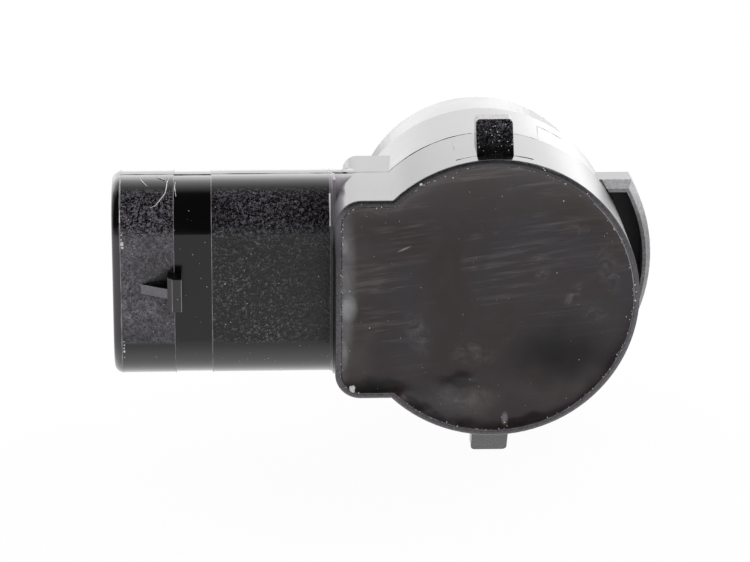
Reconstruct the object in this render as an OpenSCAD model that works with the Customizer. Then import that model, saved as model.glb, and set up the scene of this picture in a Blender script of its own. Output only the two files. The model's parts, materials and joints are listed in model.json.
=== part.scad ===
// Ultrasonic parking sensor: a potted plastic can with a side connector, a sensing face towards +Y.
// The origin lies on the sensor's axis, in the plane of the shoulder that stops against its holder.
// Depths below are measured from the rear rim towards the sensing face.

/* [Can] */
// Radius of the round can
can_r = 11.95; // [11.6:0.05:13]
// Depth of the can from its rear rim to its shoulder
body_depth = 17.2; // [16.4:0.1:20]
// Depth of the mould's parting plane, on which the connector is centred
parting_depth = 7.95; // [7.6:0.05:8.4]
// Narrowing of the radius from the parting plane to the shoulder
can_draft = 0.5; // [0.1:0.05:0.8]
// Thickness of the can's wall
can_wall = 1.2; // [0.9:0.05:1.4]
// Width of the rim that shows round the potting
rim_w = 0.5; // [0.4:0.05:0.7]
// Rounding of the rear rim's outer edge
rim_round = 0.2; // [0.1:0.05:0.45]
// Depth of the widened mouth behind the rim
mouth_depth = 1.1; // [0.6:0.1:2]
// Thickness of the front wall behind the shoulder
front_wall = 1.5; // [1:0.1:2]
// Rounding of the shoulder's outer edge
shoulder_round = 0.5; // [0.2:0.1:0.8]

/* [Connector box] */
// Height of the box between the can and the connector
box_h = 17.1; // [16.8:0.1:19]
// Distance from the axis to the box's outer wall
box_reach = 13; // [12.6:0.1:14]
// Depth of the box from the rear rim
box_depth = 12.6; // [12.2:0.1:14]
// Corner radius of the box
box_corner = 2.1; // [1.5:0.1:2.4]
// Step by which the box's front half stands back from its outer wall
box_step = 1; // [0.4:0.1:1.2]
// Corner radius of the box's front half
box_front_corner = 1.2; // [0.8:0.1:1.6]

/* [Connector] */
// Length of the connector from the box to its mouth
plug_len = 18.25; // [16:0.25:22]
// Height of the connector
plug_h = 17; // [16:0.1:17.1]
// Thickness of the connector
plug_t = 8.9; // [8.6:0.1:9.2]
// Corner radius of the connector
plug_corner = 3.85; // [3.2:0.05:4.2]
// Thickness of the connector's shroud
plug_wall = 1.3; // [1:0.05:1.5]
// Rounding of the mouth's outer edge
mouth_round = 0.7; // [0.4:0.1:1]
// Thickness of the bulkhead that carries the contact pins
bulkhead = 2.3; // [1.5:0.1:4]
// Distance from the mouth to the smooth band
band_start = 5.1; // [4.8:0.05:6]
// Width of the smooth band
band_w = 3.1; // [2:0.05:4]
// Depth of the smooth band below the grained surface
band_step = 0.06; // [0.02:0.01:0.15]
// Radius of the hollow fillet where the connector meets the box
root_fillet = 0.3; // [0.2:0.05:0.8]

/* [Latch] */
// Distance from the mouth to the latch tooth
tooth_start = 4.55; // [4:0.05:6]
// Length of the tooth along the connector
tooth_len = 1.15; // [0.8:0.05:1.6]
// Width of the tooth
tooth_w = 2.8; // [2:0.1:4]
// Height of the tooth above the connector
tooth_rise = 1.8; // [1.2:0.1:2.2]
// Bevel on the tooth's leading edge
tooth_bevel = 0.4; // [0.1:0.05:0.6]
// Length of the ramp that leads up to the tooth
ramp_len = 2.3; // [1.5:0.1:3]
// Width of the ramp
ramp_w = 0.8; // [0.5:0.1:1.4]
// Height of the ramp where it meets the tooth
ramp_rise = 1.45; // [0.8:0.05:1.7]

/* [Retaining lugs] */
// Width of each lug
lug_w = 3; // [2:0.1:5]
// Height of each lug above the can
lug_h = 2.5; // [1.5:0.05:3.5]
// Depth at which a lug's ramp leaves the can
lug_start = 1.5; // [0.5:0.05:2]
// Length of the lug's ramp
lug_ramp = 1.7; // [1:0.05:4]
// Length of the lug's flat top
lug_land = 1.4; // [0.6:0.1:3]
// Rounding of the lug's outer corners
lug_round = 0.35; // [0.1:0.05:0.8]

/* [Side loop] */
// Outer radius of the loop from the sensor's axis
loop_r = 14.1; // [13.8:0.1:15]
// Height of the loop
loop_h = 13.9; // [11:0.1:15]
// Length of the loop along the sensor's axis
loop_len = 3.2; // [2.4:0.1:4]
// Thickness of the loop's curved wall
loop_wall = 0.8; // [0.7:0.05:1]
// Thickness of the loop's end bars
loop_bar = 0.8; // [0.7:0.05:1.4]
// Height of the bevel on the loop's rear outer edge
loop_bevel = 0.5; // [0.2:0.05:0.55]
// Length of that bevel along the sensor's axis
loop_bevel_len = 1.1; // [0.6:0.1:1.6]
// Thickness of the web that closes the loop's front
loop_web = 0.5; // [0.4:0.1:0.8]

/* [Front] */
// Radius of the spigot in front of the shoulder
spigot_r = 10.4; // [9.9:0.1:10.8]
// Length of the spigot
spigot_len = 6.7; // [5:0.1:7]
// Wall of the spigot
spigot_wall = 0.95; // [0.7:0.05:1.2]
// Reach of the sensing face from the shoulder
face_reach = 8.8; // [8.6:0.1:10]

/* [Transducer] */
// Radius of the transducer's cup
cup_r = 7.75; // [7.2:0.05:8]
// Thinnest wall of the cup
cup_wall = 0.8; // [0.5:0.05:1]
// Thickness of the vibrating face
membrane_t = 0.65; // [0.4:0.05:0.9]
// Rounding of the sensing face's edge
face_round = 0.35; // [0.1:0.05:0.6]
// Distance across the flats inside the cup
cup_flats = 10.4; // [9.4:0.1:11]
// Thickness of the decoupling ring's front collar
collar_t = 1.3; // [0.8:0.1:1.7]
// Thickness of the decoupling ring's inner lip
lip_t = 0.7; // [0.4:0.1:1.2]
// Radius of the decoupling ring's opening behind the cup
lip_r = 6.5; // [6:0.1:6.8]
// Distance from the spigot's outside in to the decoupling ring's collar
collar_inset = 0.35; // [0.2:0.05:0.6]
// Radius of the piezo disc
piezo_r = 3.8; // [3:0.1:4.5]
// Thickness of the piezo disc
piezo_t = 0.35; // [0.2:0.05:0.5]
// Radius of the damping pad
pad_r = 4.6; // [4:0.1:4.7]
// Thickness of the damping pad
pad_t = 2.6; // [1.5:0.1:3.2]
// Thickness of the sealant behind the damping pad
sealant_t = 3.2; // [2:0.1:3.4]

/* [Circuit board] */
// Thickness of the circuit board
board_t = 1; // [0.8:0.1:1.2]
// Depth of the ledge on which the circuit board rests
ledge_depth = 7; // [6.6:0.1:7.1]
// Width of the ledge
ledge_w = 0.7; // [0.5:0.05:0.9]
// Level of the potting below the rear rim
potting_level = 0.15; // [0.1:0.05:0.4]

/* [Contact pins] */
// Side of the square contact pins
pin_side = 0.64; // [0.5:0.02:0.8]
// Distance between neighbouring contact pins
pin_pitch = 4; // [3:0.1:4.2]
// Free length of the pins inside the connector
pin_reach = 9.2; // [6:0.1:10]
// Length of the tapered pin tips
pin_tip = 0.9; // [0.4:0.1:1.2]
// Distance from the axis to the pins' soldered legs
pin_leg = 9.6; // [9.2:0.1:10]
// Length of the legs behind the circuit board
leg_tail = 0.8; // [0.5:0.1:1.2]
// Radius of the solder round a contact pin
solder_r = 0.95; // [0.8:0.05:1.2]

/* [Electronics] */
// Side of the transformer
trafo_side = 5.6; // [5:0.1:6]
// Height of the transformer
trafo_h = 5; // [4:0.1:6]
// Length of the driver chip
chip_len = 6; // [5:0.1:6.6]
// Width of the driver chip
chip_w = 3.9; // [3.2:0.1:4.2]
// Height of the driver chip
chip_h = 1.5; // [1.1:0.1:2]
// Radius of the storage capacitor
can_cap_r = 2; // [1.5:0.1:2.2]
// Height of the storage capacitor
can_cap_h = 5.2; // [4:0.1:6]
// Radius of the transducer's lead wires
wire_r = 0.3; // [0.2:0.05:0.4]

/* [Hidden] */
// Running clearance between moulded, cast and turned faces
fit_gap = 0.05;
// Overlap that lets joined volumes merge
merge = 0.2;
$fn = 64;

shoulder_r = can_r - can_draft;
bore_r = can_r - can_wall;
mouth_r = can_r - rim_w;
front_bore_r = bore_r - ledge_w;
floor_depth = body_depth - front_wall;

box_wall = can_wall;
box_front_wall = front_wall;
box_floor_depth = box_depth - box_front_wall;
inner_corner = 0.6;

mouth_x = -(box_reach + plug_len);
bulkhead_x = -(box_reach + bulkhead);
plug_y = parting_depth - body_depth;
socket_corner = plug_corner - plug_wall;

loop_start = box_depth - loop_len;

ring_bore_r = spigot_r - spigot_wall;
collar_depth = body_depth + spigot_len;
collar_r = spigot_r - collar_inset;
face_depth = body_depth + face_reach;
cup_back = body_depth + lip_t;
membrane_back = face_depth - membrane_t;
piezo_back = membrane_back - piezo_t;
pad_back = piezo_back - pad_t;
sealant_back = pad_back - sealant_t;
cup_bore_r = cup_r - cup_wall;

board_back = ledge_depth - board_t;
board_gap = 0.2;
board_r = bore_r - board_gap;
leg_hole_gap = 0.03;
leg_hole_r = pin_side / sqrt(2) + leg_hole_gap;
solder_h = 0.55;

pin_end_x = bulkhead_x - pin_reach;
pin_rows = [1, 0, -1];

// Lead wires, as X and Z from the sensor's axis
wire_places = [[0.2, 1.6], [0.2, -1.6]];
wire_solder_r = 0.7;
wire_solder_h = 0.3;

// Places on the board, as X and Z in shares of the bore's radius
trafo_place = bore_r * [0.365, 0.365];
can_cap_place = bore_r * [0.4, -0.4];
chip_place = bore_r * [-0.335, -0.205];
diode_place = bore_r * [-0.345, 0.43];
ceramic_places = bore_r * [[-0.615, 0.3], [-0.615, 0.505], [-0.055, 0.69], [0.735, -0.055], [-0.035, -0.615]];
resistor_places = bore_r * [
    [-0.055, 0.525], [-0.205, -0.71], [-0.43, -0.67], [0.735, 0.095], [-0.345, 0.67], [0.075, -0.43]
];

// Driver chip and its gull-wing leads
chip_standoff = 0.1;
lead_t = 0.2;
lead_span = 1;
lead_w = 0.42;
lead_pitch = 1.1;
leads_per_side = 5;

// Transformer
trafo_base_h = 1;
trafo_flange_h = 0.8;
trafo_core_inset = 0.2;
trafo_neck_inset = 1.1;
winding_inset = 0.25;
trafo_core_r = trafo_side / 2 - trafo_core_inset;
trafo_neck_r = trafo_core_r - trafo_neck_inset;

// Storage capacitor and the small chips, the chips as X, Z and height
cap_base_h = 0.7;
cap_base_rim = 0.15;
cap_base_corner = 0.4;
cap_groove = 0.2;
cap_groove_h = 0.5;
ceramic_size = [1.6, 0.8, 0.8];
resistor_size = [1.6, 0.8, 0.45];
diode_size = [2.6, 1.4, 1];

// Turns a flat shape drawn in X and Z into a slab between two depths
module slab(from, to) {
    translate([0, from - body_depth, 0])
        rotate([-90, 0, 0])
            linear_extrude(to - from)
                mirror([0, 1, 0])
                    children();
}

// Revolves a flat profile of radius and depth round the sensor's axis
module turned() {
    translate([0, -body_depth, 0])
        rotate([-90, 0, 0])
            rotate_extrude()
                children();
}

// Turns a flat shape drawn in Y and Z into a bar that starts at a place along X
module bar(from, to) {
    translate([from, 0, 0])
        rotate([90, 0, 90])
            linear_extrude(to - from)
                children();
}

// Rectangle with round corners, centred
module round_rect(w, h, r) {
    square([w - 2 * r, h], center = true);
    square([w, h - 2 * r], center = true);
    for (sx = [-1, 1], sy = [-1, 1])
        translate([sx * (w / 2 - r), sy * (h / 2 - r)])
            circle(r);
}

// Half of a block's section: radius outwards, length upwards, round at the low outer corner
module edge_profile(r, round, len) {
    square([r - round, len]);
    translate([0, round])
        square([r, len - round]);
    intersection() {
        translate([r - round, round])
            circle(round);
        square([r, len]);
    }
}

// Block with round corners and one rounded end, standing on that end
module soft_block(w, h, r, round, len) {
    for (sx = [-1, 1], sy = [-1, 1])
        translate([sx * (w / 2 - r), sy * (h / 2 - r), 0])
            rotate_extrude()
                edge_profile(r, round, len);
    for (side = [0, 1])
        rotate([90, 0, side * 90])
            linear_extrude((side == 0 ? h : w) - 2 * r, center = true)
                for (half = [0, 1])
                    mirror([half, 0])
                        edge_profile((side == 0 ? w : h) / 2, round, len);
}

// Outline of the connector box, drawn in X and Z
module box_outline(reach, h, corner) {
    box_w = reach + corner;
    translate([corner - box_w / 2, 0])
        round_rect(box_w, h, corner);
}

// Outline of the can and the connector box, drawn in X and Z, set in from the outside by a wall
module body_outline(r, inset, corner) {
    circle(r);
    box_outline(box_reach - inset, box_h - 2 * inset, corner);
}

module can_outer() {
    turned() {
        edge_profile(can_r, rim_round, parting_depth);
        difference() {
            polygon([
                [0, parting_depth], [can_r, parting_depth],
                [shoulder_r, body_depth], [0, body_depth]
            ]);
            shoulder_edge_cut();
        }
    }
}

// Corner that the shoulder's rounding takes away, in radius and depth
module shoulder_edge_cut() {
    difference() {
        translate([shoulder_r - shoulder_round, body_depth - shoulder_round])
            square(2 * shoulder_round);
        translate([shoulder_r - shoulder_round, body_depth - shoulder_round])
            circle(shoulder_round);
    }
}

// Connector box in two mould halves, of which the front one stands back from the connector
module box_outer() {
    box_w = box_reach + box_corner;
    translate([box_corner - box_w / 2, -body_depth, 0])
        rotate([-90, 0, 0])
            soft_block(box_w, box_h, box_corner, rim_round, parting_depth);
    slab(parting_depth - merge, box_depth)
        box_outline(box_reach - box_step, box_h, box_front_corner);
}

module connector_outer() {
    band_x = mouth_x + band_start;
    plug_end = -box_reach + box_corner;
    translate([mouth_x, plug_y, 0])
        rotate([90, 0, 90])
            soft_block(plug_t, plug_h, plug_corner, mouth_round, band_start);
    translate([0, plug_y, 0]) {
        bar(mouth_x + mouth_round, plug_end)
            round_rect(plug_t - 2 * band_step, plug_h - 2 * band_step, plug_corner - band_step);
        bar(band_x + band_w, plug_end)
            round_rect(plug_t, plug_h, plug_corner);
    }
    root_fillets(box_reach, rim_round, parting_depth);
    root_fillets(box_reach - box_step, parting_depth, box_depth);
}

// Section of a hollow fillet in the corner between a wall below and a wall on the left
module fillet_profile(r) {
    difference() {
        translate([-merge, -merge])
            square(r + merge);
        translate([r, r])
            circle(r);
    }
}

// Hollow fillet round the connector's foot on the box's wall, between two depths
module root_fillets(reach, from, to) {
    flat_h = plug_h - 2 * plug_corner;
    intersection() {
        translate([-reach, plug_y, 0])
            rotate([90, 0, -90]) {
                for (side = [-1, 1])
                    translate([side * plug_t / 2, 0, 0])
                        mirror([side < 0 ? 1 : 0, 0, 0])
                            rotate([90, 0, 0])
                                linear_extrude(flat_h, center = true)
                                    fillet_profile(root_fillet);
                for (sx = [-1, 1], sy = [-1, 1])
                    translate([sx * (plug_t / 2 - plug_corner), sy * flat_h / 2, 0])
                        rotate_extrude()
                            translate([plug_corner, 0])
                                fillet_profile(root_fillet);
            }
        slab(from, to)
            translate([-reach - root_fillet - merge, -box_h / 2])
                square([reach, box_h]);
    }
}

// Latch on the connector's rear side: a thin ramp that leads up to a cross tooth
module latch() {
    root = plug_y - plug_t / 2 + merge;
    crest = root - merge;
    tooth_x = mouth_x + tooth_start;
    translate([0, 0, -ramp_w / 2])
        linear_extrude(ramp_w)
            polygon([
                [tooth_x - ramp_len, root], [tooth_x - ramp_len, crest],
                [tooth_x + merge, crest - ramp_rise], [tooth_x + merge, root]
            ]);
    translate([0, 0, -tooth_w / 2])
        linear_extrude(tooth_w)
            polygon([
                [tooth_x, root], [tooth_x, crest - tooth_rise + tooth_bevel],
                [tooth_x + tooth_bevel, crest - tooth_rise],
                [tooth_x + tooth_len, crest - tooth_rise], [tooth_x + tooth_len, root]
            ]);
}

// One ramped lug on the can, above the axis
module lug() {
    foot = can_r - rim_w / 2;
    crown = can_r + lug_h;
    land_start = lug_start + lug_ramp;
    intersection() {
        translate([-lug_w / 2, -body_depth, 0])
            rotate([90, 0, 90])
                linear_extrude(lug_w)
                    polygon([
                        [lug_start, foot], [lug_start, can_r], [land_start, crown],
                        [land_start + lug_land, crown], [land_start + lug_land, foot]
                    ]);
        slab(0, body_depth)
            translate([0, crown / 2])
                round_rect(lug_w, crown, lug_round);
    }
}

// Half section of the loop with its rear outer edge bevelled: reach outwards, depth upwards
module bevelled_half(reach) {
    polygon([
        [0, loop_start], [reach - loop_bevel, loop_start],
        [reach, loop_start + loop_bevel_len], [reach, box_depth], [0, box_depth]
    ]);
}

// Curved loop opposite the connector, closed at its front by a thin web
module side_loop() {
    intersection() {
        turned()
            bevelled_half(loop_r);
        translate([0, -body_depth, 0])
            bar(can_r / 2, loop_r)
                for (half = [0, 1])
                    mirror([0, half])
                        mirror([1, -1])
                            bevelled_half(loop_h / 2);
    }
}

module loop_pocket() {
    pocket_h = loop_h - 2 * loop_bar;
    slab(loop_start - merge, box_depth - loop_web)
        difference() {
            intersection() {
                circle(loop_r - loop_wall);
                translate([can_r / 2, -pocket_h / 2])
                    square([loop_r, pocket_h]);
            }
            circle(can_r);
        }
}

module cavities() {
    slab(-merge, mouth_depth)
        body_outline(mouth_r, rim_w, box_corner - rim_w);
    slab(mouth_depth - merge, ledge_depth)
        body_outline(bore_r, box_wall, inner_corner);
    slab(ledge_depth - merge, box_floor_depth)
        body_outline(front_bore_r, box_wall + ledge_w, inner_corner);
    slab(box_floor_depth - merge, floor_depth)
        circle(front_bore_r);
    slab(floor_depth - merge, body_depth + merge)
        circle(lip_r);
    slab(body_depth, collar_depth + merge)
        circle(ring_bore_r);
}

module socket() {
    translate([0, plug_y, 0])
        bar(mouth_x - merge, bulkhead_x)
            round_rect(plug_t - 2 * plug_wall, plug_h - 2 * plug_wall, socket_corner);
}

module housing() {
    color("#1c1c1e")
        difference() {
            union() {
                difference() {
                    union() {
                        can_outer();
                        side_loop();
                    }
                    loop_pocket();
                }
                box_outer();
                connector_outer();
                latch();
                lug();
                mirror([0, 0, 1])
                    lug();
                slab(floor_depth, collar_depth)
                    circle(spigot_r);
            }
            cavities();
            socket();
            for (row = pin_rows)
                pin_run(row);
        }
}

module potting_fill() {
    color("#2b2726")
        difference() {
            union() {
                slab(potting_level, mouth_depth - fit_gap)
                    body_outline(mouth_r - fit_gap, rim_w + fit_gap, box_corner - rim_w);
                slab(mouth_depth - fit_gap - merge, board_back)
                    body_outline(bore_r - fit_gap, box_wall + fit_gap, inner_corner);
            }
            for (row = pin_rows)
                slab(board_back - leg_tail - fit_gap, board_back + merge)
                    translate([-pin_leg, row * pin_pitch])
                        circle(solder_r + fit_gap);
        }
}

// Straight run of a contact pin from its tapered tip to its leg
module pin_run(row) {
    half = pin_side / 2;
    end = -pin_leg + half;
    translate([0, plug_y, row * pin_pitch])
        intersection() {
            translate([0, 0, -half])
                linear_extrude(pin_side)
                    pin_side_view(half, end);
            rotate([90, 0, 0])
                translate([0, 0, -half])
                    linear_extrude(pin_side)
                        pin_side_view(half, end);
        }
}

module pin_side_view(half, end) {
    polygon([
        [pin_end_x, -half / 3], [pin_end_x + pin_tip, -half], [end, -half],
        [end, half], [pin_end_x + pin_tip, half], [pin_end_x, half / 3]
    ]);
}

module contact_pin(row) {
    color("#c9b25a") {
        pin_run(row);
        slab(board_back - leg_tail, parting_depth)
            translate([-pin_leg, row * pin_pitch])
                square(pin_side, center = true);
    }
}

module contact_pin_supply() {
    contact_pin(pin_rows[0]);
}

module contact_pin_signal() {
    contact_pin(pin_rows[1]);
}

module contact_pin_ground() {
    contact_pin(pin_rows[2]);
}

// Solder cones behind the board round the pins, and in front of it round the lead wires
module solder_joints() {
    color("#b8bcc0") {
        for (row = pin_rows)
            difference() {
                translate([-pin_leg, board_back - body_depth, row * pin_pitch])
                    rotate([90, 0, 0])
                        cylinder(h = solder_h, r1 = solder_r, r2 = pin_side);
                slab(board_back - solder_h - merge, board_back + merge)
                    translate([-pin_leg, row * pin_pitch])
                        square(pin_side, center = true);
            }
        for (place = wire_places)
            difference() {
                translate([place[0], ledge_depth - body_depth, place[1]])
                    rotate([-90, 0, 0])
                        cylinder(h = wire_solder_h, r1 = wire_solder_r, r2 = 2 * wire_r);
                slab(ledge_depth - merge, ledge_depth + wire_solder_h + merge)
                    translate(place)
                        circle(wire_r + fit_gap);
            }
    }
}

// Silicone ring that carries the cup and keeps its vibration off the housing
module decoupling_ring() {
    color("#26262a")
        turned()
            polygon([
                [lip_r, body_depth], [ring_bore_r - fit_gap, body_depth],
                [ring_bore_r - fit_gap, collar_depth], [collar_r, collar_depth],
                [collar_r, collar_depth + collar_t / 2],
                [collar_r - collar_t / 2, collar_depth + collar_t],
                [cup_r + fit_gap, collar_depth + collar_t],
                [cup_r + fit_gap, cup_back], [lip_r, cup_back]
            ]);
}

// Section of the hollow inside the cup: a circle with two flats
module cup_hollow(r, flats) {
    intersection() {
        circle(r);
        square([2 * r, flats], center = true);
    }
}

module transducer_cup() {
    color("#8e9196")
        difference() {
            turned() {
                translate([0, cup_back])
                    square([cup_r, face_depth - face_round - cup_back]);
                translate([0, face_depth])
                    mirror([0, 1])
                        edge_profile(cup_r, face_round, membrane_t);
            }
            slab(cup_back - merge, membrane_back)
                cup_hollow(cup_bore_r, cup_flats);
        }
}

module piezo_disc() {
    color("#d8d2bd")
        slab(piezo_back, membrane_back)
            circle(piezo_r);
}

module wire_holes() {
    for (place = wire_places)
        translate(place)
            circle(wire_r + fit_gap);
}

module damping_pad() {
    color("#5a5750")
        slab(pad_back, piezo_back)
            difference() {
                circle(pad_r);
                wire_holes();
            }
}

module cup_sealant() {
    color("#3a3a3c")
        slab(sealant_back, pad_back)
            difference() {
                cup_hollow(cup_bore_r - fit_gap, cup_flats - 2 * fit_gap);
                wire_holes();
            }
}

module lead_wire(place) {
    slab(ledge_depth, piezo_back)
        translate(place)
            circle(wire_r);
}

module lead_wire_signal() {
    color("#b03a2e")
        lead_wire(wire_places[0]);
}

module lead_wire_ground() {
    color("#2c2c2c")
        lead_wire(wire_places[1]);
}

module circuit_board() {
    color("#2e6b3c")
        slab(board_back, ledge_depth)
            difference() {
                body_outline(board_r, box_wall + board_gap, inner_corner);
                for (row = pin_rows)
                    translate([-pin_leg, row * pin_pitch])
                        circle(leg_hole_r);
            }
}

// Puts a flat shape on the board's front at a place, between two heights above the board
module on_board(place, low, high) {
    slab(ledge_depth + low, ledge_depth + high)
        translate(place)
            children();
}

module driver_chip() {
    color("#202022")
        on_board(chip_place, chip_standoff, chip_standoff + chip_h)
            square([chip_w, chip_len], center = true);
}

// Side view of one gull-wing lead, from the chip's side outwards
module lead_profile() {
    shoulder = chip_standoff + chip_h / 2;
    bend = lead_span / 2;
    polygon([
        [0, shoulder - lead_t / 2], [bend - lead_t / 2, shoulder - lead_t / 2],
        [bend - lead_t / 2, 0], [lead_span, 0], [lead_span, lead_t],
        [bend + lead_t / 2, lead_t], [bend + lead_t / 2, shoulder + lead_t / 2],
        [0, shoulder + lead_t / 2]
    ]);
}

module driver_chip_leads() {
    color("#c0c2c6")
        for (side = [0, 1], i = [0 : leads_per_side - 1])
            translate([chip_place[0], ledge_depth - body_depth, chip_place[1]])
                mirror([side, 0, 0])
                    translate([chip_w / 2, 0, (i - (leads_per_side - 1) / 2) * lead_pitch - lead_w / 2])
                        linear_extrude(lead_w)
                            lead_profile();
}

module transformer_base() {
    color("#3d3a35")
        on_board(trafo_place, 0, trafo_base_h)
            square(trafo_side, center = true);
}

// Ferrite drum: two flanges on a neck
module transformer_core() {
    color("#4a4a4e") {
        on_board(trafo_place, trafo_base_h, trafo_base_h + trafo_flange_h)
            circle(trafo_core_r);
        on_board(trafo_place, trafo_base_h, trafo_h)
            circle(trafo_neck_r);
        on_board(trafo_place, trafo_h - trafo_flange_h, trafo_h)
            circle(trafo_core_r);
    }
}

module transformer_winding() {
    color("#b0682f")
        on_board(trafo_place, trafo_base_h + trafo_flange_h, trafo_h - trafo_flange_h)
            difference() {
                circle(trafo_core_r - winding_inset);
                circle(trafo_neck_r + fit_gap);
            }
}

// Aluminium can with a crimp groove near its foot
module storage_capacitor() {
    color("#b9bcc2") {
        on_board(can_cap_place, cap_base_h, cap_base_h + cap_groove_h)
            circle(can_cap_r);
        on_board(can_cap_place, cap_base_h, can_cap_h)
            circle(can_cap_r - cap_groove);
        on_board(can_cap_place, cap_base_h + 2 * cap_groove_h, can_cap_h)
            circle(can_cap_r);
    }
}

module capacitor_base() {
    side = 2 * (can_cap_r + cap_base_rim);
    color("#262628")
        on_board(can_cap_place, 0, cap_base_h)
            round_rect(side, side, cap_base_corner);
}

module chip_row(places, size) {
    for (place = places)
        on_board(place, 0, size[2])
            square([size[0], size[1]], center = true);
}

module ceramic_capacitors() {
    color("#a98f6a")
        chip_row(ceramic_places, ceramic_size);
}

module resistors() {
    color("#1f2023")
        chip_row(resistor_places, resistor_size);
}

module diode() {
    color("#2a2a2c")
        chip_row([diode_place], diode_size);
}

housing();
potting_fill();
contact_pin_supply();
contact_pin_signal();
contact_pin_ground();
solder_joints();
decoupling_ring();
transducer_cup();
piezo_disc();
damping_pad();
cup_sealant();
lead_wire_signal();
lead_wire_ground();
circuit_board();
driver_chip();
driver_chip_leads();
transformer_base();
transformer_core();
transformer_winding();
storage_capacitor();
capacitor_base();
ceramic_capacitors();
resistors();
diode();
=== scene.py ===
"""Looks of an ultrasonic parking sensor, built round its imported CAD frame.

The frame is in metres. The sensor's axis lies along Y, its potted rear looks towards -Y and its connector
towards -X. Named sizes and places are in millimetres, unless a comment says otherwise.
"""

import json
import math
import random

import bpy
from mathutils import Matrix, Vector
from mathutils.bvhtree import BVHTree


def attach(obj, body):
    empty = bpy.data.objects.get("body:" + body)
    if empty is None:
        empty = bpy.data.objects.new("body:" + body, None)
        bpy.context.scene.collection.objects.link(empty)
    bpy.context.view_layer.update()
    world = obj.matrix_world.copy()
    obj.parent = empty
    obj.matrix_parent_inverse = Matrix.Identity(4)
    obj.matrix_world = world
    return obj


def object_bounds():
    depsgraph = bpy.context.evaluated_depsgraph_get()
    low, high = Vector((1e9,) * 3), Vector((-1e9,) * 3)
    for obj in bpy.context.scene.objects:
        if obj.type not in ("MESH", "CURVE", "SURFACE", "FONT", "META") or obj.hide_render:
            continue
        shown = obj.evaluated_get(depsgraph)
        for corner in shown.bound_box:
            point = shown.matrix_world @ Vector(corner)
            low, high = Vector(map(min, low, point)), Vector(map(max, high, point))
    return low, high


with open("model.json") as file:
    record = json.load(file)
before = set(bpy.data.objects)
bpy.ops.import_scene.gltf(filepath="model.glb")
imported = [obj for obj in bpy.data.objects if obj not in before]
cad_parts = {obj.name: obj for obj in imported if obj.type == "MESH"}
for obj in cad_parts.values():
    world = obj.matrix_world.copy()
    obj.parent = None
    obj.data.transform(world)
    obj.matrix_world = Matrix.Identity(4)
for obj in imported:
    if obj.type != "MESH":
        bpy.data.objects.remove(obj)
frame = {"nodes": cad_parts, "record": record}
cad_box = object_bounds()
nodes = frame["nodes"]

MM = 0.001

# Ends of the CAD part, from the frame
MOUTH_X = cad_box[0][0] / MM
REAR_Y = cad_box[0][1] / MM
LUG_TOP = cad_box[1][2] / MM

# Can, spigot and potting of the CAD part
CAN_R = 11.95
SHOULDER_R = 11.45
SPIGOT_R = 10.4
PARTING_Y = -9.25
RIM_W = 0.5
POTTING_LEVEL = 0.15

# Box and connector of the CAD part
BOX_REACH = 13.0
BOX_HALF = 8.55
BOX_CORNER = 2.1
MOUTH_ROUND = 0.7
BAND_X = (-26.15, -23.05)
FILLET_X = -13.3
PLUG_T = 8.9
PLUG_H = 17.0
PLUG_CORNER = 3.85
SOCKET_HALF = (3.3, 7.3)

# Latch, lugs and side loop of the CAD part
CREST_Y = PARTING_Y - PLUG_T / 2
TOOTH_X = (-26.7, -26.3, -25.55)
TOOTH_Y = (-15.1, -15.5)
TOOTH_HALF = 1.4
RIB_X = -29.0
RIB_Y = -15.0
RIB_HALF = 0.4
LUG_HALF = 1.5
LUG_LAND_Y = -13.95
LOOP_BEVEL_Y = (-7.9, -6.6)
LOOP_FROM_X = 0.5 * CAN_R
POCKET_R = 13.28
POCKET_HALF = 6.13

# Camera fitted to the photograph: angles in degrees, nearest depth in metres
CAMERA_PLACE = (-21.048, -264.637, 88.059)
CAMERA_AZIMUTH = -2.61
CAMERA_ELEVATION = 19.213
CAMERA_ROLL = 0.316
CAMERA_LENS = 154.66
CAMERA_SENSOR = 36.0
CAMERA_NEAREST = 0.01


# Node graphs


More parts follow.
